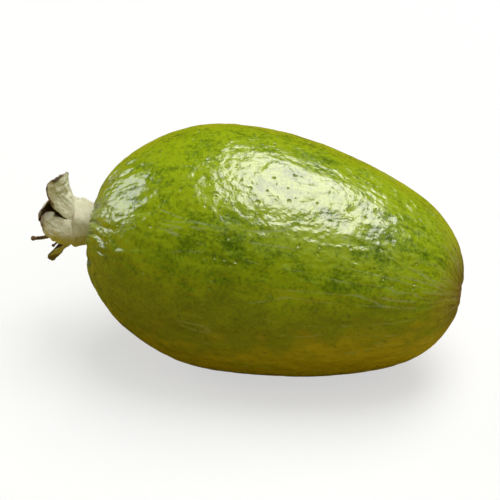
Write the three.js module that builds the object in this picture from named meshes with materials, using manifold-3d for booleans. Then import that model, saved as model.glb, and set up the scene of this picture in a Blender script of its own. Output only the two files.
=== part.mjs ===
// A whole feijoa (pineapple guava) lying on its side, in millimetres, +Z up.
// The fruit's long axis runs along X: the calyx, left from the flower, is at -X and the stem scar is at +X.
// The origin is the middle of the small flat spot that the fruit rests on.
import * as THREE from 'three';
import { mergeVertices } from 'three/addons/utils/BufferGeometryUtils.js';
import Module from 'manifold-3d';

const wasm = await Module();
wasm.setup();

const radians = THREE.MathUtils.degToRad;

// Driving dimensions
const gap = 0.3; // left between neighbouring pieces
const fruit = {
  length: 70, // from pole to pole, before the ends are drawn in
  width: 45,
  fullness: [1, -0.18, 0.1, 0.185], // a cubic along the axis that makes the ellipse fuller at the calyx end
  widest: 1.0177, // the most that the cubic and the ellipse reach together
  bow: 1.2, // sideways bend of the axis at mid length
  restPitch: radians(5), // the stem end lies lower, so that the mass is over the flat spot
  flatDepth: 0.5, // how far the flat spot is pressed in
  stations: 46,
  segments: 72,
};
const calyxEnd = { dimpleDepth: 1.5, dimpleRadius: 6.5, folds: 9, foldDepth: 0.35, foldRadius: 8 };
const stemEnd = { dimpleDepth: 0.9, dimpleRadius: 2.6, folds: 11, foldDepth: 0.18, foldRadius: 6 };
const foldFading = 3; // a higher power keeps the folds closer to their radius
const cup = {
  plugRadius: 3.3,
  plugDepth: 1.2, // sunk in the fruit
  neckRadius: 3.7,
  rimRadius: 4.5,
  height: 3, // from the seat to the top of the rim
  wall: 1.1,
  floorHeight: 1.3,
  lipSteps: 6,
  segments: 40,
};
const sepalShape = {
  ringRadius: 3.95, // of the bases, around the calyx's axis
  wideAt: 0.52, // share of the length
  baseShare: 0.84, // width at the base, as a share of the widest
  tipPower: 2.4, // above 2, the tip is blunter than an ellipse
  tipThinning: 0.25,
  rings: 14,
  segments: 18,
};
// In degrees, turn goes from straight up towards +Y, lean is from the calyx's axis at the base, curl is what the
// midline turns by up to the tip, and twist turns the tip about the midline.
const sepals = [
  { name: 'sepal_upper', turn: -14, length: 7.6, width: 6.0, thickness: 1.5, lean: 46, curl: 44, twist: -42 },
  { name: 'sepal_back', turn: 76, length: 9.6, width: 6.8, thickness: 1.6, lean: 20, curl: -112, twist: 0 },
  { name: 'sepal_lower', turn: 166, length: 7.8, width: 5.6, thickness: 1.5, lean: 46, curl: 32, twist: 22 },
  { name: 'sepal_front', turn: 256, length: 7.6, width: 6.6, thickness: 1.6, lean: 20, curl: -96, twist: 0 },
];
// Each thread stands on the cup's floor. Its points are [height above the floor, towards +Y, up].
const style = { name: 'dried_style', baseRadius: 0.5, tipRadius: 0.3 };
style.points = [[0, 0, 0], [3, 0.2, -0.8], [5.4, 0.3, -2.9], [7.6, 0.2, -4.6], [10.2, -0.3, -5.2]];
const stamenShape = { baseRadius: 0.28, tipRadius: 0.2 };
const stamens = [
  [[0, -0.9, 0.9], [2.6, -1.1, 2.2], [4.6, -1.2, 4.0], [6.6, -1.1, 5.2]],
  [[0, 1.2, 1.2], [2.4, 0.9, 2.3], [4.6, 0.3, 3.6], [7.4, 0.2, 4.2]],
  [[0, -1.2, -1], [2.4, -1.0, -2.2], [4.4, -0.9, -3.8], [6.0, -0.9, -5.6]],
];
const thread = { rings: 14, segments: 8 };

const skinGreen = new THREE.MeshStandardMaterial({ color: 0x5e7d17, roughness: 0.35, metalness: 0 });
const feltCream = new THREE.MeshStandardMaterial({ color: 0xb9b58c, roughness: 0.9, metalness: 0 });
const driedBrown = new THREE.MeshStandardMaterial({ color: 0x7a5a2c, roughness: 0.8, metalness: 0 });

// ---- Shared by all pieces

// A closed surface through rings of points, with one point that closes each end. Looking back from the last ring
// to the first, the points of each ring run anticlockwise.
function geometryOfRings(startTip, rings, endTip) {
  const count = rings[0].length;
  const points = [startTip, ...rings.flat(), endTip];
  const at = (ring, i) => 1 + ring * count + (i % count);
  const index = [];
  for (let i = 0; i < count; i++) {
    index.push(0, at(0, i + 1), at(0, i));
    for (let ring = 0; ring < rings.length - 1; ring++) {
      index.push(at(ring, i), at(ring, i + 1), at(ring + 1, i + 1));
      index.push(at(ring, i), at(ring + 1, i + 1), at(ring + 1, i));
    }
    index.push(points.length - 1, at(rings.length - 1, i), at(rings.length - 1, i + 1));
  }
  const geometry = new THREE.BufferGeometry().setFromPoints(points);
  geometry.setIndex(index);
  return geometry;
}

// A solid for joining and cutting. Only the positions are kept, so that shared vertices merge.
function solidOf(geometry) {
  const bare = new THREE.BufferGeometry().setAttribute('position', geometry.getAttribute('position'));
  bare.setIndex(geometry.index);
  const merged = mergeVertices(bare, 1e-4);
  const vertProperties = new Float32Array(merged.getAttribute('position').array);
  const triVerts = new Uint32Array(merged.index.array);
  return new wasm.Manifold(new wasm.Mesh({ numProp: 3, vertProperties, triVerts }));
}

function geometryOfSolid(solid) {
  const { vertProperties, triVerts } = solid.getMesh();
  const geometry = new THREE.BufferGeometry();
  geometry.setAttribute('position', new THREE.BufferAttribute(vertProperties, 3));
  geometry.setIndex(new THREE.BufferAttribute(triVerts, 1));
  return geometry;
}

function pieceOf(name, geometry, material) {
  geometry.computeVertexNormals();
  const mesh = new THREE.Mesh(geometry, material);
  mesh.name = name;
  return mesh;
}

// ---- The fruit

// Radius before the folds. The station runs from -1 at the calyx end to 1 at the stem end.
function bodyRadius(station) {
  const ellipse = Math.sqrt(Math.max(0, 1 - station ** 2));
  const cubic = fruit.fullness.reduce((sum, factor, power) => sum + factor * station ** power, 0);
  return ((fruit.width / 2) * ellipse * cubic) / fruit.widest;
}

// A point of the skin. Each pole is drawn in a little, and radial folds run into it.
function skinPoint(station, turn) {
  const radius = bodyRadius(station);
  const end = station < 0 ? calyxEnd : stemEnd;
  const drawnIn = end.dimpleDepth * Math.exp(-((radius / end.dimpleRadius) ** 2)) * -Math.sign(station);
  const inFolds = (radius / end.foldRadius) * Math.exp(1 - radius / end.foldRadius);
  const folded = radius + end.foldDepth * Math.cos(end.folds * turn) * inFolds ** foldFading;
  return new THREE.Vector3(
    (station * fruit.length) / 2 + drawnIn,
    folded * Math.cos(turn) + fruit.bow * (1 - station ** 2),
    folded * Math.sin(turn),
  );
}

function skinRings() {
  const rings = [];
  for (let i = 1; i < fruit.stations; i++) {
    const station = -Math.cos((Math.PI * i) / fruit.stations);
    const ring = [];
    for (let k = 0; k < fruit.segments; k++) ring.push(skinPoint(station, (2 * Math.PI * k) / fruit.segments));
    rings.push(ring);
  }
  return rings;
}

// The fruit as it lies: pitched, with its lowest point flatDepth under the surface that it rests on.
function laidGroup(rings) {
  const laid = new THREE.Group();
  laid.rotation.y = fruit.restPitch;
  laid.updateMatrix();
  const turned = rings.flat().map((point) => point.clone().applyMatrix4(laid.matrix));
  const lowest = turned.reduce((low, point) => (point.z < low.z ? point : low));
  laid.position.set(-lowest.x, -lowest.y, -lowest.z - fruit.flatDepth);
  laid.updateMatrix();
  return laid;
}

// The calyx is seated at the bottom of the calyx end's dimple.
const seatX = -fruit.length / 2 + calyxEnd.dimpleDepth;
const outwards = new THREE.Vector3(-1, 0, 0);

// A lathe's shape stands on Y. This lays it on the seat, pointing outwards.
function seatedLathe(outline) {
  const points = outline.map(([radius, height]) => new THREE.Vector2(radius, height));
  const geometry = new THREE.LatheGeometry(points, cup.segments);
  return geometry.rotateZ(Math.PI / 2).translate(seatX, 0, 0);
}

function socketGeometry() {
  return seatedLathe([
    [0, -cup.plugDepth - gap],
    [cup.plugRadius + gap, -cup.plugDepth - gap],
    [cup.neckRadius + gap, 0],
    [cup.rimRadius + gap, cup.height],
    [0, cup.height],
  ]);
}

function fruitGeometry(rings, laid) {
  const skin = solidOf(geometryOfRings(skinPoint(-1, 0), rings, skinPoint(1, 0)));
  const below = new THREE.BoxGeometry(2 * fruit.length, 2 * fruit.width, fruit.width);
  below.translate(0, 0, -fruit.width / 2).applyMatrix4(laid.matrix.clone().invert());
  return geometryOfSolid(skin.subtract(solidOf(below)).subtract(solidOf(socketGeometry())));
}

// ---- The calyx

// The cup: a plug sunk in the fruit, a flaring wall with a round rim, and a floor inside.
function cupGeometry() {
  const lip = cup.wall / 2;
  const outline = [[0, -cup.plugDepth], [cup.plugRadius, -cup.plugDepth], [cup.neckRadius, 0]];
  for (let i = 0; i <= cup.lipSteps; i++) {
    const angle = (Math.PI * i) / cup.lipSteps;
    outline.push([cup.rimRadius - lip + lip * Math.cos(angle), cup.height - lip + lip * Math.sin(angle)]);
  }
  outline.push([cup.neckRadius - cup.wall, cup.floorHeight], [0, cup.floorHeight]);
  return seatedLathe(outline);
}

// Width of a sepal as a share of its widest: narrower at the base, and round at the tip.
function widthShare(along) {
  const { wideAt, baseShare, tipPower } = sepalShape;
  if (along < wideAt) return 1 - (1 - baseShare) * ((wideAt - along) / wideAt) ** 2;
  return Math.sqrt(1 - ((along - wideAt) / (1 - wideAt)) ** tipPower);
}

// A thick lobe whose midline is an arc that starts over the rim. Its sections are lenses, hollow towards the
// calyx's axis.
function sepalGeometry(sepal) {
  const lean = radians(sepal.lean);
  const curl = radians(sepal.curl);
  const turn = radians(sepal.turn);
  const radial = new THREE.Vector3(0, Math.sin(turn), Math.cos(turn));
  const across = new THREE.Vector3().crossVectors(outwards, radial);
  const lift = cup.height + gap + (sepal.thickness / 2) * Math.sin(lean);
  const base = new THREE.Vector3(seatX, 0, 0)
    .addScaledVector(outwards, lift)
    .addScaledVector(radial, sepalShape.ringRadius);
  const midline = (along) => {
    const angle = lean + curl * along;
    return base
      .clone()
      .addScaledVector(outwards, (sepal.length * (Math.sin(angle) - Math.sin(lean))) / curl)
      .addScaledVector(radial, (sepal.length * (Math.cos(lean) - Math.cos(angle))) / curl);
  };
  const ringAt = (along) => {
    const angle = lean + curl * along;
    const tangent = outwards.clone().multiplyScalar(Math.cos(angle)).addScaledVector(radial, Math.sin(angle));
    const twist = radians(sepal.twist) * THREE.MathUtils.smoothstep(along, 0, 1);
    const sideways = across.clone().applyAxisAngle(tangent, twist);
    const inwards = new THREE.Vector3().crossVectors(tangent, sideways);
    const halfWidth = (sepal.width / 2) * widthShare(along);
    const thinning = Math.sqrt(1 - along ** 4) * (1 - sepalShape.tipThinning * along);
    const halfThickness = (sepal.thickness / 2) * thinning;
    return Array.from({ length: sepalShape.segments }, (_, k) => {
      const around = (2 * Math.PI * k) / sepalShape.segments;
      const aside = halfWidth * Math.cos(around);
      const hollow = aside ** 2 / (2 * sepalShape.ringRadius);
      return midline(along)
        .addScaledVector(sideways, aside)
        .addScaledVector(inwards, halfThickness * Math.sin(around) + hollow);
    });
  };
  const steps = Array.from({ length: sepalShape.rings }, (_, i) => i / sepalShape.rings);
  return geometryOfRings(midline(0), steps.map((step) => ringAt(Math.sin((Math.PI / 2) * step))), midline(1));
}

// A dried thread of the flower: a tapering tube along a smooth curve that stands just above the cup's floor.
function threadGeometry(points, baseRadius, tipRadius) {
  const floorX = seatX - cup.floorHeight - gap;
  const places = points.map(([height, y, z]) => new THREE.Vector3(floorX - height, y, z));
  const curve = new THREE.CatmullRomCurve3(places);
  const { normals, binormals } = curve.computeFrenetFrames(thread.rings);
  const rings = normals.map((normal, i) => {
    const along = i / thread.rings;
    const radius = THREE.MathUtils.lerp(baseRadius, tipRadius, along);
    return Array.from({ length: thread.segments }, (_, k) => {
      const around = (2 * Math.PI * k) / thread.segments;
      return curve
        .getPointAt(along)
        .addScaledVector(normal, radius * Math.cos(around))
        .addScaledVector(binormals[i], radius * Math.sin(around));
    });
  });
  return geometryOfRings(curve.getPointAt(0), rings, curve.getPointAt(1));
}

// ---- The whole

const rings = skinRings();
const laid = laidGroup(rings);
laid.add(pieceOf('fruit', fruitGeometry(rings, laid), skinGreen));
laid.add(pieceOf('calyx_cup', cupGeometry(), feltCream));
for (const sepal of sepals) laid.add(pieceOf(sepal.name, sepalGeometry(sepal), feltCream));
laid.add(pieceOf(style.name, threadGeometry(style.points, style.baseRadius, style.tipRadius), driedBrown));
stamens.forEach((points, i) => {
  const geometry = threadGeometry(points, stamenShape.baseRadius, stamenShape.tipRadius);
  laid.add(pieceOf(`dried_stamen_${i + 1}`, geometry, driedBrown));
});

const feijoa = new THREE.Group();
feijoa.add(laid);

export default feijoa;
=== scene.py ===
import math

import bpy
import numpy as np
from mathutils import Matrix, Vector


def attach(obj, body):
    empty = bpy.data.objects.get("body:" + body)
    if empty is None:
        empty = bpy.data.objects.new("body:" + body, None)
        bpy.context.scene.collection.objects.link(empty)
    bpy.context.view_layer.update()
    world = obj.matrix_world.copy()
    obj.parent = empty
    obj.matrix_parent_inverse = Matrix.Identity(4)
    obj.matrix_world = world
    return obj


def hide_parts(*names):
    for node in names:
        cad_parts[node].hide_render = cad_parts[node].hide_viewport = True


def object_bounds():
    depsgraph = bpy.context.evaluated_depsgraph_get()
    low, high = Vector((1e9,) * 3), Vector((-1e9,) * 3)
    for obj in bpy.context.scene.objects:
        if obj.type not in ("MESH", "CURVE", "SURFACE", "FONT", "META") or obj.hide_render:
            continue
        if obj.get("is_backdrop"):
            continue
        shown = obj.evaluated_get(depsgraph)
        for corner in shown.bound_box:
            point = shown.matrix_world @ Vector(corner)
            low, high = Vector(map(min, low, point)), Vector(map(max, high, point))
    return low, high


# A feijoa lying on its side. The new pieces are worked out in millimetres in the fruit's own frame, with
# the axis along X and the calyx at -X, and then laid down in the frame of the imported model.
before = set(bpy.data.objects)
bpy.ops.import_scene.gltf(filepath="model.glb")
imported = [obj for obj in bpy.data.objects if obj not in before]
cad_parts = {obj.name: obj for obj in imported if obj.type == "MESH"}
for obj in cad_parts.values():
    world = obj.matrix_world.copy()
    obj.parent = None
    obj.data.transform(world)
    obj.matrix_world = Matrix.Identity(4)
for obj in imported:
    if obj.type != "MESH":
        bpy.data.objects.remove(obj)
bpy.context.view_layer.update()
print("frame loaded")

# ---- noise and grids


def hashNumbers(cells, seed):
    # Three repeatable numbers from 0 to 1 for each lattice cell: its whole coordinates are multiplied by
    # large odd numbers, combined, and mixed by shifts and products.
    x, y, z = np.moveaxis(cells.astype(np.int64), -1, 0)
    mixed = x * 73856093 ^ y * 19349663 ^ z * 83492791 ^ (seed + 1) * 95279
    numbers = []
    for _ in range(3):
        mixed = ((mixed & 0xFFFFFFFF) ^ (mixed >> 15 & 0x1FFFF)) * 739982445 & 0xFFFFFFFF
        mixed ^= mixed >> 13
        numbers.append(mixed / 2**32)
    return np.stack(numbers, -1)


def smoothNoise(points, seed):
    # Gradient noise, scaled to run from about -1 to 1: at each corner of the lattice cell a random slope
    # times the way from the corner, blended by a curve that is flat at the corners.
    cell = np.floor(points)
    inside = points - cell
    blend = inside**3 * (inside * (inside * 6 - 15) + 10)
    total = 0
    for corner in np.ndindex(2, 2, 2):
        slope = hashNumbers(cell + corner, seed) * 2 - 1
        weight = np.where(corner, blend, 1 - blend).prod(-1)
        total = total + weight * (slope * (inside - corner)).sum(-1)
    return 1.7 * total


def layeredNoise(points, seed, layers=3, falloff=0.5):
    # Smooth noise at one scale, plus half as strong at half that scale, and so on.
    return sum(smoothNoise(points * 2**k, seed + k) * falloff**k for k in range(layers))


def nearestSpot(points, seed):
    # One random spot stands in each lattice cell. Of the spots in the 27 cells around a point, gives the
    # distance to the nearest and that spot's own random numbers.
    cell = np.floor(points)
    nearest = np.full(points.shape[:-1], np.inf)
    numbers = np.zeros(points.shape)
    for step in np.ndindex(3, 3, 3):
        corner = cell + step - 1
        distance = np.linalg.norm(corner + hashNumbers(corner, seed) - points, axis=-1)
        closer = distance < nearest
        nearest = np.where(closer, distance, nearest)
        numbers = np.where(closer[..., None], hashNumbers(corner, seed + 1), numbers)
    return nearest, numbers


def smoothStep(value, low, high):
    # 0 below low and 1 above high, with a smooth rise between: 3tt - 2ttt.
    share = np.clip((value - low) / (high - low), 0, 1)
    return share * share * (3 - 2 * share)


def unit(vectors):
    # Each vector divided by its length. A tiny least length keeps a zero vector at zero.
    return vectors / np.maximum(np.linalg.norm(vectors, axis=-1, keepdims=True), 1e-12)


def gridNormals(grid):
    # Outward normals of a closed grid: the step around it crossed with the step along it.
    around = np.roll(grid, -1, 1) - np.roll(grid, 1, 1)
    return unit(np.cross(around, np.gradient(grid, axis=0)))


def gridFaces(rows, columns, first):
    # Quads between the rings of one grid, and at each end a fan to a middle vertex. The two middle
    # vertices are numbered after the grid's own.
    vertex = first + np.arange(rows * columns).reshape(rows, columns)
    ahead = np.roll(vertex, -1, 1)
    quads = np.stack([vertex[:-1], ahead[:-1], ahead[1:], vertex[1:]], -1).reshape(-1, 4)
    start = np.full(columns, first + rows * columns)
    fans = np.concatenate([
        np.stack([start, ahead[0], vertex[0]], -1),
        np.stack([start + 1, vertex[-1], ahead[-1]], -1),
    ])
    return quads.tolist() + fans.tolist()


def pieceFromGrids(name, grids, attributes=None):
    # One mesh of closed surfaces, each a grid of rings whose two ends are closed at the middle of the
    # end ring. An attribute is a list with one array for each grid.
    points, faces = [], []
    count = 0
    for grid in grids:
        rows, columns = grid.shape[:2]
        points += [grid.reshape(-1, 3), grid[0].mean(0)[None], grid[-1].mean(0)[None]]
        faces += gridFaces(rows, columns, count)
        count += rows * columns + 2
    mesh = bpy.data.meshes.new(name)
    mesh.from_pydata(np.concatenate(points), [], faces)
    mesh.shade_smooth()
    for label, arrays in (attributes or {}).items():
        values = np.concatenate([
            np.concatenate([array.ravel(), [array[0].mean()], [array[-1].mean()]]) for array in arrays
        ])
        mesh.attributes.new(label, "FLOAT", "POINT").data.foreach_set("value", values.astype(np.float32))
    piece = bpy.data.objects.new(name, mesh)
    bpy.context.scene.collection.objects.link(piece)
    return piece


# ---- the fruit's shape

body = {
    "length": 70.0,
    "width": 45.0,
    "fullness": (1, -0.18, 0.1, 0.185),  # factors of a cubic along the axis, fuller at the calyx end
    "widest": 1.0177,  # the greatest value of the ellipse times the cubic
    "bow": 1.2,  # how far aside the middle of the axis stands
    "pitch": 5.0,  # degrees, stem end down
    "flatDepth": 0.5,  # of the flat spot underneath
    "calyxDimple": (1.5, 6.5),  # depth and radius
    "stemDimple": (0.9, 2.6),
}
seatX = -body["length"] / 2 + body["calyxDimple"][0]


def bodySurface(station, turn):
    # An ellipse times a cubic, turned about the axis, with both poles drawn in by a bell curve, and the
    # axis bent sideways by a parabola. The station runs from -1 at the calyx to 1 at the stem.
    cubic = sum(factor * station**power for power, factor in enumerate(body["fullness"]))
    radius = body["width"] / 2 * np.sqrt(1 - station**2) * cubic / body["widest"]
    depth = np.where(station < 0, body["calyxDimple"][0], -body["stemDimple"][0])
    reach = np.where(station < 0, body["calyxDimple"][1], body["stemDimple"][1])
    x = station * body["length"] / 2 + depth * np.exp(-((radius / reach) ** 2)) + 0 * turn
    y = radius * np.cos(turn) + body["bow"] * (1 - station**2)
    return np.stack([x, y, radius * np.sin(turn)], -1), radius + 0 * turn


def pitched(points):
    # Turned about Y, so that the stem end goes down.
    angle = math.radians(body["pitch"])
    x, y, z = np.moveaxis(points, -1, 0)
    return np.stack([
        x * math.cos(angle) + z * math.sin(angle),
        y,
        z * math.cos(angle) - x * math.sin(angle),
    ], -1)


def findPlace():
    # How far the pitched fruit is moved to lie on the surface: its lowest point, found on a fine grid
    # over the underside, goes to the origin and then down by the depth of the flat spot.
    stations = np.linspace(-0.6, 0.6, 801)
    turns = np.linspace(-2.2, -0.9, 801)
    station, turn = np.meshgrid(stations, turns, indexing="ij")
    cloud = pitched(bodySurface(station, turn)[0]).reshape(-1, 3)
    lowest = cloud[cloud[:, 2].argmin()]
    return -lowest - [0, 0, body["flatDepth"]]


place = findPlace()


def laid(points):
    # From the fruit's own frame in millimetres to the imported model's frame in metres.
    return (pitched(points) + place) / 1000


skinShape = {
    "around": 400,
    "along": 244,
    "poleDensity": 0.35,  # how much closer the rings are at the poles
    "wrapRadius": 18.0,  # of the cylinder that holds the patterns, so that they narrow towards the poles
    "stretch": 0.55,  # the relief is longer from pole to pole
    "lumps": (6.5, 0.2),  # size and height
    "wrinkles": (2.8, 0.07),
    "wrinkleBends": (4.0, 0.9),  # size and reach of what bends the wrinkles
    "calyxWrinkles": (1.2, 8, 26),  # how much higher near the calyx, and from where to where that fades
    "pebbles": (1.3, 0.018),
    "dents": (5.5, 0.12, 0.9),  # spacing, depth and radius
    "dentBends": (0.9, 0.5),  # size and reach of what makes the dents uneven
    "dentStretch": (0.75, 1, 1),
    "dentShare": 0.6,  # how many of the places hold a dent
    "plainPoles": (1.5, 6),  # the radii between which the fine relief sets in
    "calyxCreases": (3.4, 0.5, 7.2, 6.2),  # how many, depth, the radius where they are deepest, reach
    "stemCreases": (3.6, 0.22, 4.0, 3.5),
    "creaseWidth": 0.16,
    "creaseDrift": 9.0,  # how far out a crease takes to wander aside
    "scar": (1.35, 0.3, 0.5),  # radius, and the rim's height and width
    "scarRagged": 0.12,
    "cork": (0.6, 0.12),  # size and height
}


def creases(turn, radius, look, seed):
    # Grooves that run into a pole: where smooth noise around the axis crosses 0, the skin is drawn in.
    many, depth, middle, reach = look
    drift = radius / skinShape["creaseDrift"] + seed
    around = np.stack([many * np.cos(turn), many * np.sin(turn), drift], -1)
    groove = np.exp(-((smoothNoise(around, seed) / skinShape["creaseWidth"]) ** 2))
    return -depth * groove * np.exp(-(((radius - middle) / reach) ** 2))


def skinRelief(grid, turn, radius, arc):
    # Lumps and pebbles are noise, wrinkles are 1 less twice the size of noise, and dents are bell curves
    # around random spots. All but the lumps fade out at the poles. Gives the sum, and the wrinkles alone.
    look = skinShape
    lumpSize, lumpHeight = look["lumps"]
    wrinkleSize, wrinkleHeight = look["wrinkles"]
    bendSize, bendReach = look["wrinkleBends"]
    higher, near, far = look["calyxWrinkles"]
    pebbleSize, pebbleHeight = look["pebbles"]
    spacing, dentDepth, dentRadius = look["dents"]
    unevenSize, unevenReach = look["dentBends"]
    wrap = look["wrapRadius"]
    spread = np.stack([arc * look["stretch"], wrap * np.cos(turn), wrap * np.sin(turn)], -1)
    warp = smoothNoise(spread / bendSize, 21)[..., None] * bendReach
    ridges = 1 - np.abs(layeredNoise((spread + warp) / wrinkleSize, 31, 2)) * 2
    uneven = np.stack([smoothNoise(grid / unevenSize, seed) for seed in (42, 43, 44)], -1)
    distance, own = nearestSpot((grid * look["dentStretch"] + unevenReach * uneven) / spacing, 41)
    dentReach = dentRadius * (0.6 + own[..., 0])
    dents = np.exp(-((distance * spacing / dentReach) ** 2)) * (own[..., 1] > 1 - look["dentShare"])
    fine = smoothStep(radius, *look["plainPoles"])
    relief = lumpHeight * smoothNoise(spread / lumpSize, 11)
    relief += fine * wrinkleHeight * ridges * (1 + higher * smoothStep(-arc, -far, -near))
    relief += fine * pebbleHeight * layeredNoise(grid / pebbleSize, 51, 2)
    relief -= fine * dentDepth * dents
    return relief, ridges


def stemScar(grid, turn, radius):
    # A rim, which is a bell curve of the distance from a ragged circle, and noise on the cork inside it.
    # The ragged radius is the true one times 1 plus noise.
    look = skinShape
    scarRadius, rimHeight, rimWidth = look["scar"]
    corkSize, corkHeight = look["cork"]
    circle = np.stack([2 * np.cos(turn), 2 * np.sin(turn), radius], -1)
    ragged = radius * (1 + look["scarRagged"] * smoothNoise(circle, 81))
    rim = rimHeight * np.exp(-(((ragged - scarRadius) / rimWidth) ** 2))
    inside = smoothStep(-ragged, -scarRadius - corkSize, -scarRadius)
    cork = corkHeight * layeredNoise(grid / corkSize, 91, 2) * inside
    return rim, cork, ragged


def makeSkin():
    # The body's surface, moved along its normals by the sum of the reliefs, and flat where it would go
    # below the floor. The rings stand closer at the poles, where a sine slows the angle down.
    look = skinShape
    steps = (np.arange(look["along"]) + 1) / (look["along"] + 1)
    angle = math.pi * (steps - look["poleDensity"] * np.sin(2 * math.pi * steps) / (2 * math.pi))
    station = -np.cos(angle)[:, None]
    turn = (np.arange(look["around"]) * 2 * math.pi / look["around"])[None]
    grid, radius = bodySurface(station, turn)
    turn = turn + 0 * radius
    paces = np.linalg.norm(np.diff(grid[:, :1], axis=0, prepend=grid[:1, :1]), axis=-1)
    arc = np.cumsum(paces, axis=0) + 0 * turn
    relief, ridges = skinRelief(grid, turn, radius, arc)
    atCalyx = station + 0 * radius < 0
    calyxGrooves = creases(turn, radius, look["calyxCreases"], 61)
    stemGrooves = creases(turn, radius, look["stemCreases"], 71)
    grooves = np.where(atCalyx, calyxGrooves, stemGrooves)
    rim, cork, ragged = stemScar(grid, turn, radius)
    height = relief + grooves + rim * ~atCalyx + cork * ~atCalyx
    points = laid(grid + gridNormals(grid) * height[..., None])
    points[..., 2] = np.maximum(points[..., 2], 0)
    elsewhere = 60  # past everything that the material does near an end
    return pieceFromGrids("feijoaSkin", [points], {
        "ridges": [np.clip(0.5 + 0.5 * ridges, 0, 1)],
        "grooves": [-grooves],
        "calyxReach": [np.where(atCalyx, radius, elsewhere)],
        "stemReach": [np.where(atCalyx, elsewhere, ragged)],
        "side": [np.cos(turn)],
        "rise": [np.sin(turn)],
        "arc": [arc],
    })


skin = makeSkin()
print("skin made")

# ---- the calyx

cupShape = {
    "around": 150,
    "rows": 90,
    "outline": (  # radius, and height from the seat: plug, wall, rim and then down to the hollow's floor
        (0.4, -1.2), (3.3, -1.2), (3.65, -0.4), (3.7, 0.3), (3.9, 1.2), (4.35, 2.2), (4.6, 2.9),
        (4.35, 3.35), (3.8, 3.2), (3.3, 2.5), (2.9, 1.8), (1.6, 1.5), (0.3, 1.65),
    ),
    "ribs": (2.6, 0.28),  # how many and how high
    "ribStart": (-0.6, 0.4),  # the heights between which the ribs set in
    "ribDrift": 6.0,  # how far up a rib takes to wander aside
    "felt": (0.9, 0.05),  # size and height
    "hollowShare": 0.42,  # how many of the rows line the hollow
    "hollowEdge": (0.34, 0.46),  # the shares of the rows between which the dark inside fades
}


def smoothPath(points, count):
    # A Catmull-Rom curve through the points, at evenly spaced values of its parameter: each span is the
    # cubic whose slope at a point is half the way between that point's two neighbours.
    points = np.asarray(points, float)
    padded = np.concatenate([2 * points[:1] - points[1:2], points, 2 * points[-1:] - points[-2:-1]])
    value = np.linspace(0, len(points) - 1, count)
    index = np.minimum(value.astype(int), len(points) - 2)
    t = (value - index)[:, None]
    a, b, c, d = (padded[index + k] for k in range(4))
    return b + t / 2 * (c - a + t * (2 * a - 5 * b + 4 * c - d + t * (3 * (b - c) + d - a)))


def makeCup():
    # The outline turned about the calyx's axis, with ribs where smooth noise around the axis is high, and
    # the felt's noise along the normals.
    look = cupShape
    outline = smoothPath(look["outline"], look["rows"])
    turn = np.arange(look["around"]) * 2 * math.pi / look["around"]
    radius = outline[::-1, :1] + 0 * turn
    height = outline[::-1, 1:] + 0 * turn
    many, ribHeight = look["ribs"]
    drift = height / look["ribDrift"]
    around = np.stack([many * np.cos(turn) + 0 * radius, many * np.sin(turn) + 0 * radius, drift], -1)
    outer = (np.arange(look["rows"]) > look["rows"] * look["hollowShare"])[:, None]
    radius = radius + ribHeight * smoothNoise(around, 101) * smoothStep(height, *look["ribStart"]) * outer
    grid = np.stack([seatX - height, radius * np.cos(turn), radius * np.sin(turn)], -1)
    size, amount = look["felt"]
    felt = layeredNoise(grid / size, 111, 2)
    grid = grid + gridNormals(grid) * (amount * felt)[..., None]
    first, last = look["hollowEdge"]
    inner = smoothStep(-np.arange(look["rows"])[:, None] / look["rows"] + 0 * radius, -last, -first)
    return pieceFromGrids("calyxCup", [laid(grid)], {
        "inner": [inner],
        "tip": [0 * inner],
        "felt": [felt],
    })


sepalShape = {
    "around": 120,
    "along": 150,
    "ringRadius": 3.95,
    "ringHeight": 3.3,
    "root": 0.16,  # how far the base reaches down into the cup, as a share of the length
    "wideAt": 0.52,
    "baseShare": 0.94,  # of the width
    "tipPower": 2.4,
    "tipThinning": 0.25,
    "flatness": 1.3,  # of the section: 1 is an ellipse, and more thins its sides
    "waves": 0.17,  # of the margin, as a share of the width
    "wavesAlong": 2.6,
    "looseFrom": (0.1, 0.5),  # the shares of the length between which the margin comes free
    "ribs": 0.2,
    "ribScale": (0.9, 0.8, 0.7),  # across, along and through
    "veins": 0.13,
    "veinScale": (2.6, 1.6, 0.7),
    "wrinkles": (1.35, 0.24),  # size and height
    "reliefFrom": (-0.1, 0.3),
    "felt": (0.55, 0.035),
    "stainSize": 1.6,
    "brownMargin": (0.86, 1.02),  # the shares of the half width between which the margin browns
}
# In degrees, turn goes from straight up towards +Y, lean is from the calyx's axis at the base, curl is
# what the midline turns by up to the tip, and twist turns the tip about the midline.
sepals = {
    "sepalUpper": {
        "node": "sepal_upper", "turn": -14, "length": 7.6, "width": 6.0, "thickness": 1.5,
        "lean": 46, "curl": 44, "twist": -42, "brownTip": 0.25, "seed": 1,
    },
    "sepalBack": {
        "node": "sepal_back", "turn": 76, "length": 9.6, "width": 6.8, "thickness": 1.6,
        "lean": 20, "curl": -112, "twist": 0, "brownTip": 0.55, "seed": 2,
    },
    "sepalLower": {
        "node": "sepal_lower", "turn": 166, "length": 7.8, "width": 5.6, "thickness": 1.5,
        "lean": 46, "curl": 32, "twist": 22, "brownTip": 0.8, "seed": 3,
    },
    "sepalFront": {
        "node": "sepal_front", "turn": 256, "length": 7.6, "width": 6.6, "thickness": 1.6,
        "lean": 20, "curl": -96, "twist": 0, "brownTip": 0.65, "seed": 4,
    },
}


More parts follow.
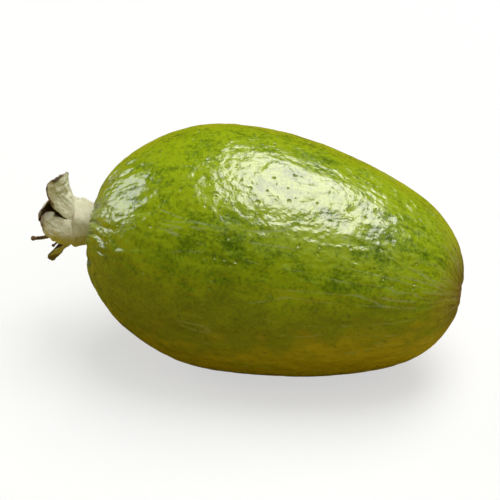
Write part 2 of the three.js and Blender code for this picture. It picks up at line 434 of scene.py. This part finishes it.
def sepalMidline(sepal, along):
    # An arc that starts in the rim, with two directions at each place: across the sepal, and towards the
    # calyx's axis. Both turn about the midline by the twist.
    look = sepalShape
    lean, curl, turn = (math.radians(sepal[key]) for key in ("lean", "curl", "turn"))
    out = np.array([-1.0, 0, 0])
    radial = np.array([0, math.sin(turn), math.cos(turn)])
    across = np.cross(out, radial)
    angle = lean + curl * along
    rimHeight = look["ringHeight"] + sepal["thickness"] / 2 * math.sin(lean)
    base = out * rimHeight + radial * look["ringRadius"]
    midline = (
        [seatX, 0, 0] + base
        + out * sepal["length"] * (np.sin(angle) - math.sin(lean)) / curl
        + radial * sepal["length"] * (math.cos(lean) - np.cos(angle)) / curl
    )
    tangent = out * np.cos(angle) + radial * np.sin(angle)
    inwards = np.cross(tangent, across)
    twist = math.radians(sepal["twist"]) * smoothStep(along, 0, 1)
    sideways = across * np.cos(twist) + inwards * np.sin(twist)
    return midline, sideways, np.cross(tangent, sideways)


def makeSepal(name, sepal):
    # Each section is a flat superellipse, hollow towards the calyx's axis by a parabola. Its half width
    # narrows by a square towards the base and by the tip's power towards the tip, with noise for the
    # margin's waves. Folds, ribs and veins lift it along the direction inwards.
    look = sepalShape
    seed = 200 + 10 * sepal["seed"]
    share = np.sin(math.pi / 2 * np.linspace(0, 1, look["along"] + 1)[:-1])
    along = (share * (1 + look["root"]) - look["root"])[:, None, None]
    around = (np.arange(look["around"]) * 2 * math.pi / look["around"])[None, :, None]
    midline, sideways, inwards = sepalMidline(sepal, along)
    before = np.clip(look["wideAt"] - along, 0, 1) / look["wideAt"]
    narrowing = 1 - (1 - look["baseShare"]) * before**2
    past = np.clip((along - look["wideAt"]) / (1 - look["wideAt"]), 0, 1)
    halfWidth = sepal["width"] / 2 * narrowing * np.sqrt(1 - past ** look["tipPower"])
    thinning = np.sqrt(1 - np.clip(along, 0, 1) ** 4) * (1 - look["tipThinning"] * along)
    halfThickness = sepal["thickness"] / 2 * thinning
    side = np.cos(around)
    # the two margins read the noise 6 apart, so that they differ
    margins = np.broadcast_arrays(along * look["wavesAlong"], np.sign(side) * 3.0, along * 0 + 0.5)
    waves = look["waves"] * smoothNoise(np.stack(margins, -1), seed)
    aside = halfWidth * (1 + waves * smoothStep(along, *look["looseFrom"])) * side
    face = np.sign(np.sin(around)) * np.abs(np.sin(around)) ** look["flatness"]
    hollow = aside**2 / (2 * look["ringRadius"])
    local = np.stack(np.broadcast_arrays(aside, along, face), -1)
    ribs = look["ribs"] * smoothNoise(local * look["ribScale"], seed + 1)
    veins = look["veins"] * smoothNoise(local * look["veinScale"], seed + 5)
    wrinkleSize, wrinkleHeight = look["wrinkles"]
    middle = midline + sideways * aside
    folds = wrinkleHeight * layeredNoise(middle / wrinkleSize, seed + 2, 2)[..., None]
    relief = (ribs + veins + folds) * smoothStep(along, *look["reliefFrom"])
    grid = middle + inwards * (halfThickness * face + hollow + relief)
    feltSize, feltHeight = look["felt"]
    felt = layeredNoise(grid / feltSize, seed + 3, 2)
    grid = grid + gridNormals(grid) * feltHeight * felt[..., None]
    along, face = (np.broadcast_to(value, grid.shape[:2] + (1,))[..., 0] for value in (along, face))
    stain = smoothNoise(grid / look["stainSize"], seed + 4)
    tip = smoothStep(along + 0.12 * stain, 1.05 - sepal["brownTip"], 1.05)
    margin = smoothStep(np.abs(side[..., 0]) + 0.1 * stain, *look["brownMargin"])
    tip = np.maximum(tip, 0.8 * margin * smoothStep(along, *look["looseFrom"]))
    return pieceFromGrids(name, [laid(grid)], {
        "inner": [smoothStep(face, -0.15, 0.55)],
        "tip": [tip],
        "felt": [felt],
    })


threadShape = {
    "around": 14,
    "rows": 70,
    "roughLength": 10.0,
    "knots": (0.9, 0.16),  # length of the thick and thin places, and how much they swell
    "knob": (0.97, 0.035),  # where its middle is and how long it is, as shares of the length
    "bark": (0.5, 0.12),  # size, and height as a share of the radius
    "floorHeight": 1.6,
    "sunk": 0.3,  # how far the feet reach into the cup's floor
    "style": ((0, 0, 0), (3, 0.2, -0.8), (5.4, 0.3, -2.9), (7.6, 0.2, -4.6), (10.2, -0.3, -5.2)),
    "stamens": (
        ((0, -0.9, 0.9), (2.6, -1.1, 2.2), (4.6, -1.2, 4.0), (6.6, -1.1, 5.2)),
        ((0, 1.2, 1.2), (2.4, 0.9, 2.3), (4.6, 0.3, 3.6), (7.4, 0.2, 4.2)),
        ((0, -1.2, -1), (2.4, -1.0, -2.2), (4.4, -0.9, -3.8), (6.0, -0.9, -5.6)),
    ),
    "styleRadii": (0.55, 0.3),
    "stamenRadii": (0.28, 0.16),
    "styleKnob": 0.5,  # how much the knob swells
    "stamenKnob": 0.9,
    "closing": (0.96, 1.02),  # the shares of the length between which the tip closes
}


def tubeAlong(path, radius, around, seed):
    # Rings about a path. Each ring's first direction is across the path and a fixed slanting line, and
    # noise along the normals makes the bark.
    slant = [0.31, 0.94, 0.17]
    tangent = unit(np.gradient(path, axis=0))
    first = unit(np.cross(tangent, slant))[:, None]
    second = np.cross(tangent[:, None], first)
    angle = (np.arange(around) * 2 * math.pi / around)[None, :, None]
    grid = path[:, None] + radius[:, None, None] * (first * np.cos(angle) + second * np.sin(angle))
    barkSize, barkShare = threadShape["bark"]
    bark = smoothNoise(grid / barkSize, seed)[..., None]
    return grid + gridNormals(grid) * barkShare * radius[:, None, None] * bark


def makeThread(name, points, radii, swelling, seed):
    # A tube whose radius falls evenly, times 1 plus noise, times 1 plus a bell curve for the knob at the
    # tip, where it closes.
    look = threadShape
    foot = [seatX - look["floorHeight"] + look["sunk"], 0, 0]
    points = np.array(points, float) * [-1, 1, 1] + foot
    path = smoothPath(points, look["rows"])
    share = np.linspace(0, 1, look["rows"])
    radius = radii[0] + (radii[1] - radii[0]) * share
    length, amount = look["knots"]
    line = np.stack([share * look["roughLength"] / length, 0 * share + seed, 0 * share], -1)
    radius = radius * (1 + amount * smoothNoise(line, seed))
    knobAt, knobLength = look["knob"]
    radius = radius * (1 + swelling * np.exp(-(((share - knobAt) / knobLength) ** 2)))
    radius = radius * np.sqrt(1 - smoothStep(share, *look["closing"]) ** 2)
    return pieceFromGrids(name, [laid(tubeAlong(path, radius, look["around"], seed))])


stubShape = {
    "count": 54,
    "ring": (1.7, 2.5),  # least and greatest radius of the ring that they stand on
    "footHeight": 1.5,
    "length": (1.2, 2.7),
    "scatter": 0.3,  # of the spacing around the ring
    "lean": 0.25,
    "inwards": 0.3,
    "bend": 0.35,
    "radius": 0.13,
    "taper": 0.4,
    "tipRadius": 0.02,
    "around": 6,
    "rows": 8,
}


def makeStubs():
    # Broken stamens: short threads on a ring around the style. Each path is a straight line that leans
    # inwards and its own way, plus a square for its bend.
    look = stubShape
    draw = np.random.default_rng(5)
    grids = []
    for k in range(look["count"]):
        angle = 2 * math.pi * (k + draw.uniform(-look["scatter"], look["scatter"])) / look["count"]
        outwards = np.array([math.cos(angle), math.sin(angle)])
        stand = draw.uniform(*look["ring"])
        foot = np.array([seatX - look["footHeight"], *(stand * outwards)])
        rise = draw.uniform(*look["length"])
        lean = draw.uniform(-look["lean"], look["lean"], 2) - look["inwards"] * outwards
        bend = draw.uniform(-look["bend"], look["bend"], 2)
        share = np.linspace(0, 1, look["rows"])[:, None]
        path = foot + np.concatenate([-rise * share, rise * (lean * share + bend * share**2)], 1)
        taper = look["radius"] * (1 - look["taper"] * share[:, 0]) * np.sqrt(1 - share[:, 0] ** 8)
        grids.append(laid(tubeAlong(path, taper + look["tipRadius"], look["around"], 300 + k)))
    return pieceFromGrids("stamenStubs", grids)


cup = makeCup()
sepalPieces = {name: makeSepal(name, sepal) for name, sepal in sepals.items()}
style = makeThread(
    "driedStyle", threadShape["style"], threadShape["styleRadii"], threadShape["styleKnob"], 7
)
stamens = [
    makeThread(
        f"driedStamen{k + 1}", points, threadShape["stamenRadii"], threadShape["stamenKnob"], 11 + k
    )
    for k, points in enumerate(threadShape["stamens"])
]
stubs = makeStubs()
print("calyx made")

# ---- materials


class Wire:
    # A socket that takes part in Python sums: each operator adds its Math node.
    def __init__(self, graph, socket):
        self.graph = graph
        self.socket = socket

    def math(self, operation, *values):
        return self.graph.math(operation, *values)

    def __add__(self, other):
        return self.math("ADD", self, other)

    def __sub__(self, other):
        return self.math("SUBTRACT", self, other)

    def __rsub__(self, other):
        return self.math("SUBTRACT", other, self)

    def __mul__(self, other):
        return self.math("MULTIPLY", self, other)

    def __truediv__(self, other):
        return self.math("DIVIDE", self, other)

    def __pow__(self, other):
        return self.math("POWER", self, other)

    __radd__ = __add__
    __rmul__ = __mul__

    def above(self, low, high):
        # 0 below low and 1 above high, with a smooth rise between. With low greater than high it falls.
        return self.graph.node("ShaderNodeMapRange", {"interpolation_type": "SMOOTHSTEP"}, {
            "Value": self, "From Min": low, "From Max": high,
        }, "Result")


class Graph:
    # A material and its nodes.
    def __init__(self, name):
        self.material = bpy.data.materials.new(name)
        self.material.use_nodes = True
        self.tree = self.material.node_tree
        self.tree.nodes.clear()

    def node(self, kind, settings=None, inputs=None, output=0):
        # A node of the given type. Its settings come first, and then a value or a wire for each socket.
        made = self.tree.nodes.new(kind)
        for key, value in (settings or {}).items():
            setattr(made, key, value)
        for key, value in (inputs or {}).items():
            if isinstance(value, Wire):
                self.tree.links.new(value.socket, made.inputs[key])
            else:
                socket = made.inputs[key]
                wantsAlpha = socket.type == "RGBA" and len(value) == 3
                socket.default_value = (*value, 1) if wantsAlpha else value
        return Wire(self, made.outputs[output]) if len(made.outputs) else made

    def math(self, operation, *values):
        # The operation on numbers or wires that carry numbers.
        return self.node("ShaderNodeMath", {"operation": operation}, dict(enumerate(values)))

    def vector(self, operation, first, second):
        # The operation on two vectors.
        return self.node("ShaderNodeVectorMath", {"operation": operation}, {0: first, 1: second})

    def combine(self, x, y, z):
        # One vector from three numbers.
        return self.node("ShaderNodeCombineXYZ", None, {0: x, 1: y, 2: z})

    def attribute(self, name):
        # The number of that name, which the mesh holds at each vertex.
        return self.node("ShaderNodeAttribute", {"attribute_name": name}, output="Fac")

    def millimetres(self, stretch=(1, 1, 1)):
        # The place on the fruit in its own frame, in millimetres: moved back from where it was laid,
        # turned back by the pitch and scaled.
        coordinates = self.node("ShaderNodeTexCoord", output="Object")
        moved = self.vector("SUBTRACT", coordinates, tuple(place / 1000))
        turned = self.node("ShaderNodeVectorRotate", {"rotation_type": "Y_AXIS"}, {
            "Vector": moved, "Angle": -math.radians(body["pitch"]),
        })
        return self.vector("MULTIPLY", turned, tuple(1000 * factor for factor in stretch))

    def noise(self, vector, size, detail=2, roughness=0.5, distortion=0, output="Fac"):
        # Noise around 0.5, with features about as large as the size.
        return self.node("ShaderNodeTexNoise", None, {
            "Vector": vector,
            "Scale": 1 / size,
            "Detail": detail,
            "Roughness": roughness,
            "Distortion": distortion,
        }, output)

    def shaken(self, vector, field, size, amount, detail=2):
        # The vector plus the amount times a vector of noise.
        shake = self.noise(field, size, detail, output="Color")
        shake = self.node("ShaderNodeVectorMath", {"operation": "SCALE"}, {0: shake, "Scale": amount})
        return self.vector("ADD", vector, shake)

    def cells(self, vector, spacing, feature="F1", output="Distance"):
        # Random spots about as far apart as the spacing: how far the nearest is, or its own random colour.
        inputs = {"Vector": vector, "Scale": 1 / spacing}
        return self.node("ShaderNodeTexVoronoi", {"feature": feature}, inputs, output)

    def mix(self, factor, first, second):
        # The first colour where the factor is 0 and the second where it is 1.
        return self.node("ShaderNodeMix", {"data_type": "RGBA"}, {0: factor, 6: first, 7: second}, 2)

    def bump(self, height):
        # Tilts the normal as a relief of that height in millimetres would.
        return self.node("ShaderNodeBump", None, {"Height": height, "Distance": 0.001, "Strength": 1.0})

    def output(self, shader):
        # Ends the material in this shader.
        self.node("ShaderNodeOutputMaterial", None, {"Surface": shader})

    def finish(self, inputs):
        # Ends the material in a Principled shader with these inputs, and gives the material.
        self.output(self.node("ShaderNodeBsdfPrincipled", None, inputs))
        return self.material


skinLook = {
    "light": (0.36, 0.50, 0.003),
    "middle": (0.21, 0.335, 0.002),
    "dark": (0.085, 0.165, 0.002),
    "glandAndPitShade": (0.15, 0.26, 0.003),
    # olive low down, partly the skin's own colour and partly painted warm bounce light
    "olive": (0.64, 0.55, 0.010),
    "bloom": (0.37, 0.43, 0.15),
    "lines": (0.42, 0.52, 0.26),
    "purple": (0.09, 0.06, 0.022),
    "purplePale": (0.25, 0.20, 0.12),
    "cork": (0.52, 0.34, 0.12),
    "corkDark": (0.16, 0.085, 0.03),
    "felt": (0.60, 0.60, 0.40),
    "broad": 12.0,  # sizes of the three noises that mottle the greens
    "mottle": 3.0,
    "grain": 0.55,
    "mottling": (1.3, 1.5, 2.3, 0.4),  # how strongly these, and the ridges as painted light and shade, change the lightness
    "darkToMiddle": (0.0, 0.5),
    "middleToLight": (0.4, 0.9),
    "paintedTopLight": 0.32,  # painted light: how much lighter it is where it faces up
    "paintedCalyxEndLight": (44, 18, 0.14),  # painted light towards the calyx end: along the arc, from where to where it lightens, and how much
    "oliveHeight": (14, 2),  # from where it starts, going down, to where it is full
    "oliveUneven": (16, 16, 9),  # how far each noise moves the olive's edge
    "oliveAndBounceStrength": 0.8,
    "shadeStrength": 0.6,
    "glandSpacing": 1.75,
    "glandSize": (0.05, 0.26),  # the least, and what the largest adds, in parts of the spacing
    "pitStrength": 0.6,
    "pitDepth": 0.2,
    "grainSpacing": 1.05,
    "grainStrength": 0.5,
    "stemRays": (20, 3),  # the radii between which the pale rays of an end fade in
    "calyxRays": (18, 4),
    "lineWidth": (0.022, 0.004),
    "purpleReach": (17, 7),
    "purpleStrength": 0.88,
    "scarReach": (2.1, 1.6),
    "collarReach": (7.2, 5.4),
    "collarStrength": 0.85,
    "roughness": 0.22,
    "dryRoughness": 0.6,  # what the scar and the collar add
    "relief": (0.5, 0.19, 0.04),  # heights of its coarse, middle and fine noise
    "ior": 2.15,
}


def skinMaterial():
    # The greens are mixed by a lightness, which is a sum of noises, ridges as painted light and shade,
    # and painted light where a place faces up and towards the calyx end.
    # Low places go olive, partly painted bounce light. Glands, their pits partly painted shade, grains,
    # pale rays and lines, purple and cork are mixed in by masks.
    look = skinLook
    g = Graph("fruitSkin")
    mm = g.millimetres()
    ridges, grooves = g.attribute("ridges"), g.attribute("grooves")
    calyxReach, stemReach = g.attribute("calyxReach"), g.attribute("stemReach")
    side, rise, arc = (g.attribute(name) for name in ("side", "rise", "arc"))
    wrap = skinShape["wrapRadius"]
    around = g.combine(side, rise, arc * 0.009)
    wrapped = g.combine(arc * 0.6, side * wrap, rise * wrap)
    stretched = g.combine(arc * 0.12, side * wrap, rise * wrap)
    coordinates = g.node("ShaderNodeTexCoord", output="Object")
    height = g.node("ShaderNodeSeparateXYZ", None, {0: coordinates}, "Z") * 1000

    # mottled greens, with painted shade where a place faces sideways or down, and olive low down, partly
    # painted bounce light
    broad = g.noise(wrapped, look["broad"], 3)
    mottle = g.noise(wrapped, look["mottle"], 3, 0.55, 0.5)
    grain = g.noise(mm, look["grain"], 3, 0.65)
    byBroad, byMottle, byGrain, byRidges = look["mottling"]
    # Painted light: lighter towards the calyx end along the arc.
    paintedLightFrom, paintedLightFull, paintedLightAmount = look["paintedCalyxEndLight"]
    lightness = (
        (broad - 0.5) * byBroad + (mottle - 0.5) * byMottle + (grain - 0.5) * byGrain
        # painted light and shade: lighter on the wrinkles' crests, darker between them
        + (ridges - 0.6) * byRidges + 0.5
        # painted light: lighter where a place faces up
        + rise * look["paintedTopLight"] + arc.above(paintedLightFrom, paintedLightFull) * paintedLightAmount
    )
    colour = g.mix(lightness.above(*look["darkToMiddle"]), look["dark"], look["middle"])
    colour = g.mix(lightness.above(*look["middleToLight"]), colour, look["light"])
    # Painted shade: darker where a place faces sideways or down.
    shade = (rise + (broad - 0.5) * 1.2 + (mottle - 0.5) * 0.8).above(0.75, 0.0)
    colour = g.mix(shade * look["shadeStrength"], colour, look["dark"])
    byBroad, byMottle, byGrain = look["oliveUneven"]
    uneven = (broad - 0.5) * byBroad + (mottle - 0.5) * byMottle + (grain - 0.5) * byGrain
    # Olive near the floor: partly the skin's own colour, partly painted bounce light.
    oliveBounceMask = (height - arc * 0.12 + uneven).above(*look["oliveHeight"])
    colour = g.mix(oliveBounceMask * look["oliveAndBounceStrength"], colour, look["olive"])

    # glands, which are small pits partly darkened by painted shade, and dark grains
    wavy = g.shaken(mm, mm, 0.8, 0.5, 1)
    leastGland, moreGland = look["glandSize"]
    glands = g.cells(wavy, look["glandSpacing"])
    ownNumber = g.node(
        "ShaderNodeSeparateColor", None, {0: g.cells(wavy, look["glandSpacing"], output="Color")}, "Red"
    )
    pits = 1 - (glands / (ownNumber**2 * moreGland + leastGland)).above(0, 1)
    grains = g.cells(wavy, look["grainSpacing"], "SMOOTH_F1")
    grainMask = grains.above(0.45, 0.05) * (look["grainStrength"] - oliveBounceMask * 0.3)
    colour = g.mix(grainMask, colour, look["dark"])
    # Partly painted shade: the dents of the pits are darker green, partly the glands' own colour.
    colour = g.mix(pits * look["pitStrength"], colour, look["glandAndPitShade"])

    # pale rays from the ends, and fine pale lines along the stem half
    warped = g.shaken(around, mm, 7, 0.10)
    rays = g.noise(warped, 0.17, 2, 0.6)
    lines = g.noise(warped, 0.08, 3, 0.65)
    stemNear = (stemReach + rays * 16 - 8).above(*look["stemRays"])
    calyxNear = (calyxReach + rays * 10 - 5).above(*look["calyxRays"])
    streaks = lines.above(0.5, 0.68) * (rays.above(0.35, 0.6) * 0.7 + 0.3)
    veil = streaks * (stemNear * 0.75 + calyxNear * 0.6)
    veil = veil + (stemNear + calyxNear) * rays.above(0.4, 0.7) * 0.15
    colour = g.mix(veil, colour, look["bloom"])
    patches = g.noise(mm, 9, 2)
    winding = g.noise(stretched, 3.4, 2, 0.5, 0.4)
    paleLines = g.math("ABSOLUTE", winding - 0.5).above(*look["lineWidth"])
    paleLines = paleLines * (patches + arc * 0.004).above(0.68, 0.82) * grain.above(0.3, 0.5)
    colour = g.mix(paleLines * 0.5, colour, look["lines"])

    # painted shade in the creases, the purple around the stem's scar, the scar's cork, and the calyx's
    # felt on its collar
    # Painted shade: darker in the creases.
    colour = g.mix(grooves.above(0.15, 0.6) * 0.7, colour, look["dark"])
    purple = (stemReach + rays * 6 + lines * 3).above(*look["purpleReach"])
    purples = g.mix(lines.above(0.45, 0.7), look["purple"], look["purplePale"])
    colour = g.mix(purple * look["purpleStrength"], colour, purples)
    cork = g.mix(g.noise(mm, 0.5, 3, 0.7).above(0.4, 0.6), look["corkDark"], look["cork"])
    scar = stemReach.above(*look["scarReach"])
    colour = g.mix(scar, colour, cork)
    collar = (calyxReach + rays * 3).above(*look["collarReach"])
    colour = g.mix(collar * look["collarStrength"], colour, look["felt"])

    dry = (scar + collar).above(0, 1)
    roughness = look["roughness"] + (mottle - 0.5) * 0.15 + dry * look["dryRoughness"]
    coarse, medium, fine = look["relief"]
    relief = (
        g.noise(wrapped, 4.0, 2, 0.5, 0.4) * coarse + g.noise(wrapped, 1.6, 2, 0.55, 0.5) * medium
        + g.noise(mm, 0.5, 2, 0.6) * fine
        + streaks * stemNear * 0.07 - grains * 0.08 - pits * look["pitDepth"]
    )
    return g.finish({
        "Base Color": colour,
        "Roughness": roughness + pits * 0.4 + purple * 0.15,
        "IOR": look["ior"],
        "Normal": g.bump(relief),
    })


feltLook = {
    "pale": (0.88, 0.93, 0.77),
    "shade": (0.76, 0.755, 0.55),
    "tan": (0.52, 0.38, 0.16),
    "brown": (0.22, 0.125, 0.035),
    "dark": (0.07, 0.04, 0.012),
    "roughness": 0.85,
    "sheen": 0.3,
    "sheenRoughness": 0.5,
    "fibreHeight": 0.09,
    "patchHeight": 0.12,
}


def feltMaterial():
    # Pale felt outside, mottled by patches and fibres. The attributes turn it brown inside the calyx and
    # at the sepals' tips.
    look = feltLook
    g = Graph("calyxFelt")
    mm = g.millimetres()
    inner, tip, felt = (g.attribute(name) for name in ("inner", "tip", "felt"))
    patches = g.noise(mm, 1.8, 4, 0.6)
    fibres = g.noise(mm, 0.22, 3, 0.7, 0.6)
    paleness = patches * 0.8 + felt * 0.12 + fibres * 0.3
    colour = g.mix(paleness.above(0.35, 0.75), look["shade"], look["pale"])
    colour = g.mix((patches + fibres * 0.3).above(0.58, 0.8) * 0.35, colour, look["tan"])
    inside = g.mix((patches * 0.7 + fibres * 0.4).above(0.35, 0.75), look["dark"], look["brown"])
    colour = g.mix((inner + patches * 0.4 - 0.2).above(0.3, 0.8), colour, inside)
    colour = g.mix((tip + fibres * 0.3 - 0.15).above(0.25, 0.8) * 0.9, colour, inside)
    return g.finish({
        "Base Color": colour,
        "Roughness": look["roughness"] - fibres * 0.1,
        "Sheen Weight": look["sheen"],
        "Sheen Roughness": look["sheenRoughness"],
        "Normal": g.bump(fibres * look["fibreHeight"] + patches * look["patchHeight"]),
    })


threadLook = {
    "light": (0.36, 0.25, 0.10),
    "dark": (0.09, 0.05, 0.02),
    "roughness": 0.7,
    "fibreHeight": 0.05,
    "patchHeight": 0.04,
}


def threadMaterial():
    # Dark and light browns, mixed by patches and by fibres that run along the threads.
    look = threadLook
    g = Graph("driedThread")
    mm = g.millimetres()
    patches = g.noise(mm, 1.2, 3, 0.6)
    fibres = g.noise(g.millimetres((0.3, 1, 1)), 0.18, 2, 0.6)
    colour = g.mix((patches * 0.7 + fibres * 0.5).above(0.4, 0.8), look["dark"], look["light"])
    return g.finish({
        "Base Color": colour,
        "Roughness": look["roughness"] - fibres * 0.15,
        "Normal": g.bump(fibres * look["fibreHeight"] + patches * look["patchHeight"]),
    })


def dress(piece, material, slot, *nodes):
    # Gives a piece its material and its body, and hides the imported parts of the nodes that it stands
    # for.
    piece.data.materials.append(material)
    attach(piece, "root")
    if nodes:
        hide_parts(*nodes)


felt = feltMaterial()
thread = threadMaterial()
dress(skin, skinMaterial(), "fruit_skin", "fruit")
dress(cup, felt, "calyx_felt", "calyx_cup")
for name, piece in sepalPieces.items():
    dress(piece, felt, "calyx_felt", sepals[name]["node"])
dress(style, thread, "dried_thread", "dried_style")
for k, piece in enumerate(stamens):
    dress(piece, thread, "dried_thread", f"dried_stamen_{k + 1}")
dress(stubs, thread, "dried_thread")
print("pieces dressed")

# ---- floor, light and camera

stage = {
    "floorSize": 4.0,
    "floorDrop": 0.00005,
    "bounce": (0.43, 0.33, 0.025),  # what the floor gives back to the fruit
    "pale": (0.92, 0.96, 1.0),
    "glow": 0.55,  # how much of the floor near the fruit is plain white, which thins the shadow
    "white": 1.06,
    "whiteFrom": (0.08, 0.4),  # the distances between which the floor goes all white
    "ambient": (0.05, 0.047, 0.016),
}


def makeFloor():
    # A square that shows the camera a pale surface with a shadow near the fruit and plain white farther
    # off. All other rays meet the darker bounce colour.
    half = stage["floorSize"] / 2
    corners = [(-half, -half, 0), (half, -half, 0), (half, half, 0), (-half, half, 0)]
    mesh = bpy.data.meshes.new("floor")
    mesh.from_pydata(corners, [], [(0, 1, 2, 3)])
    floor = bpy.data.objects.new("floor", mesh)
    floor.location.z = -stage["floorDrop"]
    bpy.context.scene.collection.objects.link(floor)
    g = Graph("floorPale")
    seen = g.node("ShaderNodeLightPath", output="Is Camera Ray")
    bounce = g.node("ShaderNodeBsdfDiffuse", None, {"Color": stage["bounce"]})
    pale = g.node("ShaderNodeBsdfDiffuse", None, {"Color": stage["pale"]})
    glow = g.node("ShaderNodeEmission", None, {"Color": (1, 1, 1), "Strength": stage["white"]})
    spot = g.node("ShaderNodeTexCoord", output="Object")
    away = g.node("ShaderNodeVectorMath", {"operation": "LENGTH"}, {0: spot}, "Value")
    near = 1 - away.above(*stage["whiteFrom"])
    shown = g.node("ShaderNodeMixShader", None, {0: 1 - near * (1 - stage["glow"]), 1: pale, 2: glow})
    g.output(g.node("ShaderNodeMixShader", None, {0: seen, 1: bounce, 2: shown}))
    mesh.materials.append(g.material)
    floor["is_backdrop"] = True


def makeWorld():
    # A dim even world lights the object, and rays from the camera see white.
    world = bpy.data.worlds.new("studio")
    world.use_nodes = True
    tree = world.node_tree
    tree.nodes.clear()
    path = tree.nodes.new("ShaderNodeLightPath")
    dim, white = tree.nodes.new("ShaderNodeBackground"), tree.nodes.new("ShaderNodeBackground")
    dim.inputs["Color"].default_value = (*stage["ambient"], 1)
    white.inputs["Color"].default_value = (1, 1, 1, 1)
    mix = tree.nodes.new("ShaderNodeMixShader")
    tree.links.new(path.outputs["Is Camera Ray"], mix.inputs[0])
    tree.links.new(dim.outputs[0], mix.inputs[1])
    tree.links.new(white.outputs[0], mix.inputs[2])
    output = tree.nodes.new("ShaderNodeOutputWorld")
    tree.links.new(mix.outputs[0], output.inputs["Surface"])
    bpy.context.scene.world = world


# The fill is soft light from the front. It isn't seen in the gloss.
lamps = {
    "softboxAbove": {
        "towards": (0.19, 0.19, 0.96), "distance": 0.8, "size": (0.56, 1.0),
        "radiance": 4.25, "colour": (1, 0.95, 0.88), "inGloss": True,
    },
    "softboxLeft": {
        "towards": (-0.92, 0.22, 0.32), "distance": 0.75, "size": (0.46, 0.46),
        "radiance": 2.6, "colour": (1, 1, 1), "inGloss": True,
    },
    "fill": {
        "towards": (0.4, -0.35, 0.85), "distance": 1.0, "size": (1.2, 1.2),
        "radiance": 0.95, "colour": (1, 0.98, 0.95), "inGloss": False,
    },
}


def makeLamp(name, lamp, aim):
    # An oval of soft light that faces the aim, with its first size square to Y. Its power is the radiance
    # times pi times its area.
    data = bpy.data.lights.new(name, "AREA")
    data.shape = "ELLIPSE"
    data.size, data.size_y = lamp["size"]
    data.color = lamp["colour"]
    data.energy = lamp["radiance"] * math.pi * math.pi / 4 * data.size * data.size_y
    item = bpy.data.objects.new(name, data)
    item.visible_glossy = lamp["inGloss"]
    back = Vector(lamp["towards"]).normalized()
    side = Vector((0, 1, 0)).cross(back).normalized()
    item.rotation_euler = Matrix((side, back.cross(side), back)).transposed().to_euler()
    item.location = Vector(aim) + back * lamp["distance"]
    bpy.context.scene.collection.objects.link(item)


view = {
    "azimuth": 12.0,
    "elevation": 31.0,
    "distance": 0.76,
    "filled": 0.84,  # share of the picture's width
    "sensor": 36,  # its width in millimetres
}


def vertexPlaces(piece):
    # The mesh's vertices as rows of x, y and z.
    places = np.empty(len(piece.data.vertices) * 3)
    piece.data.vertices.foreach_get("co", places)
    return places.reshape(-1, 3)


def makeCamera():
    # The camera looks at the middle of the pieces as it sees them. The focal length is the sensor's width
    # times the distance times the filled share, over the width of the pieces.
    azimuth, elevation = math.radians(view["azimuth"]), math.radians(view["elevation"])
    level = math.cos(elevation)
    back = np.array([math.sin(azimuth) * level, -math.cos(azimuth) * level, math.sin(elevation)])
    right = np.array([math.cos(azimuth), math.sin(azimuth), 0])
    up = np.cross(back, right)
    shown = np.concatenate([vertexPlaces(piece) for piece in [skin, *sepalPieces.values()]])
    acrossView, upView = shown @ right, shown @ up
    middle = right * (acrossView.min() + acrossView.max()) / 2 + up * (upView.min() + upView.max()) / 2
    data = bpy.data.cameras.new("camera")
    data.sensor_width = view["sensor"]
    wide = acrossView.max() - acrossView.min()
    data.lens = data.sensor_width * view["distance"] * view["filled"] / wide
    data.clip_end = 20
    camera = bpy.data.objects.new("camera", data)
    camera.location = middle + back * view["distance"]
    camera.rotation_euler = Vector(-back).to_track_quat("-Z", "Y").to_euler()
    bpy.context.scene.collection.objects.link(camera)
    bpy.context.scene.camera = camera


makeFloor()
makeWorld()
lowest, highest = (np.array(corner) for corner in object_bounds())
for name, lamp in lamps.items():
    makeLamp(name, lamp, (lowest + highest) / 2)
makeCamera()
bpy.context.scene.view_settings.view_transform = "Standard"
print("stage set")
